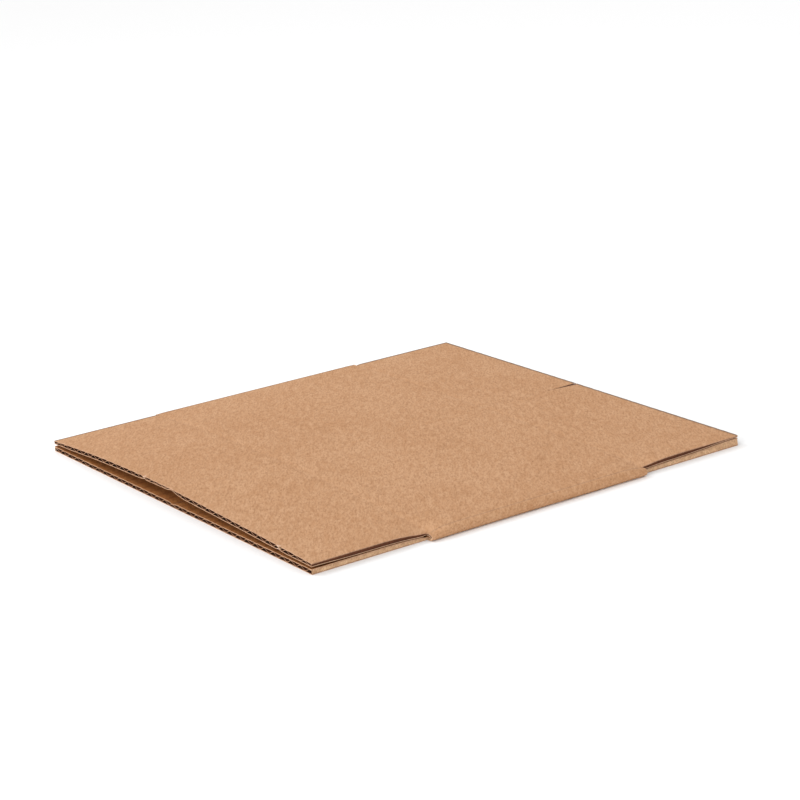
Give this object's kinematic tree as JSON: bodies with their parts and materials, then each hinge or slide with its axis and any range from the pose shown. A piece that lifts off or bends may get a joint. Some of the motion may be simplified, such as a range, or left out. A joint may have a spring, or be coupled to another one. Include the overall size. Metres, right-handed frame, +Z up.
{
  "type": "flattened cardboard box",
  "caption": "Corrugated cardboard shipping box pressed flat for storage, with slotted end flaps, rounded side folds and a glued seam.",
  "frame": {"origin": "centre of the footprint, at the face the box lies on", "axes": "+Z up, out of the face of the flat box; +Y along the flutes, from the end whose flaps stand up a little to the closed end; +X across, from one side fold to the other"},
  "size_m": [0.2146, 0.214, 0.0085],
  "materials": {
    "kraft_board": "matte"
  },
  "bodies": {
    "root": {"carton": "kraft_board"}
  },
  "joints": []
}
